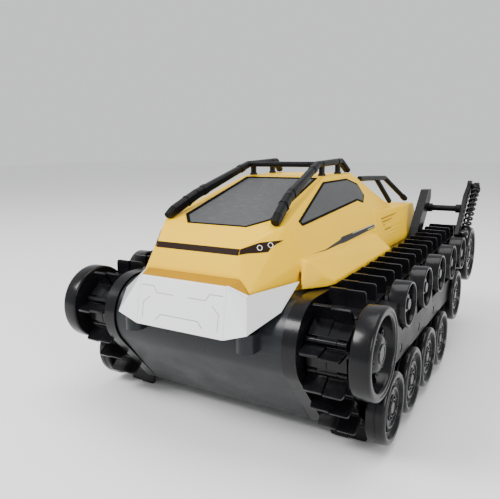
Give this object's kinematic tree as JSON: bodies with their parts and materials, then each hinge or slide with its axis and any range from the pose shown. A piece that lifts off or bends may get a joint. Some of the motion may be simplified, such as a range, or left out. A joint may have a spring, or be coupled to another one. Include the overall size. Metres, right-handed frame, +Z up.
{
  "type": "remote controlled tracked crawler",
  "caption": "Remote controlled tracked crawler: yellow cab shell with roof rails on a tub chassis, two lugged link tracks on wheels and rollers, and rear strut towers.",
  "frame": {"origin": "centre of the bounding box at ground level, under the middle of the vehicle", "axes": "front is -Y, up is +Z, the vehicle's own left side is +X, and X = 0 is its mirror plane"},
  "size_m": [0.243, 0.3786, 0.1826],
  "materials": {
    "yellow_shell": "bright yellow moulded shell, light orange peel",
    "dark_glass": "dark tinted panel, slightly dusty",
    "lamp_strip": "dark brown translucent strip",
    "lamp": "milky white lens",
    "silver_bumper": "near-white satin silver",
    "black_gloss": "black moulded plastic with a light sheen",
    "black_satin": "black moulded plastic, satin",
    "chassis_grey": "dark blue-grey moulded plastic, fine grain",
    "steel": "turned steel",
    "motor_can": "drawn steel can",
    "gear_nylon": "natural nylon",
    "pinion_brass": "cut brass",
    "battery_wrap": "blue shrink wrap",
    "board_green": "solder mask",
    "switch_red": "red moulded plastic"
  },
  "bodies": {
    "chassis": {"side_frame_left": "black_satin", "outer_frame_left": "black_satin", "rear_tower_left": "black_satin", "track_links_left": "black_gloss", "side_frame_right": "black_satin", "outer_frame_right": "black_satin", "rear_tower_right": "black_satin", "track_links_right": "black_gloss", "chassis_tub": "chassis_grey", "cab_shell": "yellow_shell", "windshield": "dark_glass", "side_windows": "dark_glass", "light_strip": "lamp_strip", "roof_rails": "black_satin", "rear_roll_bars": "black_satin", "front_bumper": "silver_bumper", "track_pins": "steel", "wheel_axles": "steel", "shock_bodies": "black_satin", "shock_rods": "steel", "shock_springs": "steel", "drive_motors": "motor_can", "battery_pack": "battery_wrap", "control_board": "board_green", "headlight_leds": "lamp", "case_screws": "steel"},
    "road_wheel_left_1": {"road_wheel_left_1": "black_gloss"},
    "road_wheel_left_2": {"road_wheel_left_2": "black_gloss"},
    "road_wheel_left_3": {"road_wheel_left_3": "black_gloss"},
    "road_wheel_left_4": {"road_wheel_left_4": "black_gloss"},
    "road_wheel_left_5": {"road_wheel_left_5": "black_gloss"},
    "return_roller_left_1": {"return_roller_left_1": "black_gloss"},
    "return_roller_left_2": {"return_roller_left_2": "black_gloss"},
    "return_roller_left_3": {"return_roller_left_3": "black_gloss"},
    "return_roller_left_4": {"return_roller_left_4": "black_gloss"},
    "return_roller_left_5": {"return_roller_left_5": "black_gloss"},
    "drive_left": {"drive_wheel_left": "black_gloss", "hub_cap_left": "black_gloss", "drive_axle_left": "steel", "drive_gear_left": "gear_nylon"},
    "idler_left": {"idler_wheel_left": "black_gloss"},
    "pinion_left": {"motor_pinion_left": "pinion_brass"},
    "road_wheel_right_1": {"road_wheel_right_1": "black_gloss"},
    "road_wheel_right_2": {"road_wheel_right_2": "black_gloss"},
    "road_wheel_right_3": {"road_wheel_right_3": "black_gloss"},
    "road_wheel_right_4": {"road_wheel_right_4": "black_gloss"},
    "road_wheel_right_5": {"road_wheel_right_5": "black_gloss"},
    "return_roller_right_1": {"return_roller_right_1": "black_gloss"},
    "return_roller_right_2": {"return_roller_right_2": "black_gloss"},
    "return_roller_right_3": {"return_roller_right_3": "black_gloss"},
    "return_roller_right_4": {"return_roller_right_4": "black_gloss"},
    "return_roller_right_5": {"return_roller_right_5": "black_gloss"},
    "drive_right": {"drive_wheel_right": "black_gloss", "hub_cap_right": "black_gloss", "drive_axle_right": "steel", "drive_gear_right": "gear_nylon"},
    "idler_right": {"idler_wheel_right": "black_gloss"},
    "pinion_right": {"motor_pinion_right": "pinion_brass"},
    "battery_door": {"battery_door": "chassis_grey"},
    "power_switch": {"power_switch": "switch_red"}
  },
  "joints": [
    {"name": "road_spin_left_1", "type": "hinge", "parent": "chassis", "child": "road_wheel_left_1", "pos_m": [0.113, -0.12275, 0.0282], "axis": [1, 0, 0], "continuous": true},
    {"name": "road_spin_left_2", "type": "hinge", "parent": "chassis", "child": "road_wheel_left_2", "pos_m": [0.113, -0.07435, 0.0282], "axis": [1, 0, 0], "continuous": true},
    {"name": "road_spin_left_3", "type": "hinge", "parent": "chassis", "child": "road_wheel_left_3", "pos_m": [0.113, -0.02595, 0.0282], "axis": [1, 0, 0], "continuous": true},
    {"name": "road_spin_left_4", "type": "hinge", "parent": "chassis", "child": "road_wheel_left_4", "pos_m": [0.113, 0.02245, 0.0282], "axis": [1, 0, 0], "continuous": true},
    {"name": "road_spin_left_5", "type": "hinge", "parent": "chassis", "child": "road_wheel_left_5", "pos_m": [0.113, 0.08369, 0.05171], "axis": [1, 0, 0], "continuous": true},
    {"name": "roller_spin_left_1", "type": "hinge", "parent": "chassis", "child": "return_roller_left_1", "pos_m": [0.113, -0.09215, 0.08887], "axis": [1, 0, 0], "continuous": true},
    {"name": "roller_spin_left_2", "type": "hinge", "parent": "chassis", "child": "return_roller_left_2", "pos_m": [0.113, -0.04295, 0.08887], "axis": [1, 0, 0], "continuous": true},
    {"name": "roller_spin_left_3", "type": "hinge", "parent": "chassis", "child": "return_roller_left_3", "pos_m": [0.113, 0.00625, 0.08887], "axis": [1, 0, 0], "continuous": true},
    {"name": "roller_spin_left_4", "type": "hinge", "parent": "chassis", "child": "return_roller_left_4", "pos_m": [0.113, 0.05545, 0.08887], "axis": [1, 0, 0], "continuous": true},
    {"name": "roller_spin_left_5", "type": "hinge", "parent": "chassis", "child": "return_roller_left_5", "pos_m": [0.113, 0.10465, 0.08887], "axis": [1, 0, 0], "continuous": true},
    {"name": "drive_spin_left", "type": "hinge", "parent": "chassis", "child": "drive_left", "pos_m": [0.113, -0.14965, 0.07387], "axis": [1, 0, 0], "continuous": true},
    {"name": "idler_spin_left", "type": "hinge", "parent": "chassis", "child": "idler_left", "pos_m": [0.113, 0.15441, 0.07928], "axis": [1, 0, 0], "continuous": true},
    {"name": "pinion_spin_left", "type": "hinge", "parent": "chassis", "child": "pinion_left", "pos_m": [0.0595, -0.12673, 0.06642], "axis": [1, 0, 0], "continuous": true},
    {"name": "road_spin_right_1", "type": "hinge", "parent": "chassis", "child": "road_wheel_right_1", "pos_m": [-0.113, -0.12275, 0.0282], "axis": [1, 0, 0], "continuous": true},
    {"name": "road_spin_right_2", "type": "hinge", "parent": "chassis", "child": "road_wheel_right_2", "pos_m": [-0.113, -0.07435, 0.0282], "axis": [1, 0, 0], "continuous": true},
    {"name": "road_spin_right_3", "type": "hinge", "parent": "chassis", "child": "road_wheel_right_3", "pos_m": [-0.113, -0.02595, 0.0282], "axis": [1, 0, 0], "continuous": true},
    {"name": "road_spin_right_4", "type": "hinge", "parent": "chassis", "child": "road_wheel_right_4", "pos_m": [-0.113, 0.02245, 0.0282], "axis": [1, 0, 0], "continuous": true},
    {"name": "road_spin_right_5", "type": "hinge", "parent": "chassis", "child": "road_wheel_right_5", "pos_m": [-0.113, 0.08369, 0.05171], "axis": [1, 0, 0], "continuous": true},
    {"name": "roller_spin_right_1", "type": "hinge", "parent": "chassis", "child": "return_roller_right_1", "pos_m": [-0.113, -0.09215, 0.08887], "axis": [1, 0, 0], "continuous": true},
    {"name": "roller_spin_right_2", "type": "hinge", "parent": "chassis", "child": "return_roller_right_2", "pos_m": [-0.113, -0.04295, 0.08887], "axis": [1, 0, 0], "continuous": true},
    {"name": "roller_spin_right_3", "type": "hinge", "parent": "chassis", "child": "return_roller_right_3", "pos_m": [-0.113, 0.00625, 0.08887], "axis": [1, 0, 0], "continuous": true},
    {"name": "roller_spin_right_4", "type": "hinge", "parent": "chassis", "child": "return_roller_right_4", "pos_m": [-0.113, 0.05545, 0.08887], "axis": [1, 0, 0], "continuous": true},
    {"name": "roller_spin_right_5", "type": "hinge", "parent": "chassis", "child": "return_roller_right_5", "pos_m": [-0.113, 0.10465, 0.08887], "axis": [1, 0, 0], "continuous": true},
    {"name": "drive_spin_right", "type": "hinge", "parent": "chassis", "child": "drive_right", "pos_m": [-0.113, -0.14965, 0.07387], "axis": [1, 0, 0], "continuous": true},
    {"name": "idler_spin_right", "type": "hinge", "parent": "chassis", "child": "idler_right", "pos_m": [-0.113, 0.15441, 0.07928], "axis": [1, 0, 0], "continuous": true},
    {"name": "pinion_spin_right", "type": "hinge", "parent": "chassis", "child": "pinion_right", "pos_m": [-0.0595, -0.12673, 0.06642], "axis": [1, 0, 0], "continuous": true},
    {"name": "battery_door_slide", "type": "slide", "parent": "chassis", "child": "battery_door", "axis": [0, 1, 0], "range_m": [0, 0.078]},
    {"name": "power_switch_slide", "type": "slide", "parent": "chassis", "child": "power_switch", "axis": [1, 0, 0], "range_m": [0, 0.0035]}
  ],
  "couplings": [
    {"joint": "pinion_spin_left", "follows": "drive_spin_left", "ratio": -4},
    {"joint": "pinion_spin_right", "follows": "drive_spin_right", "ratio": -4}
  ]
}
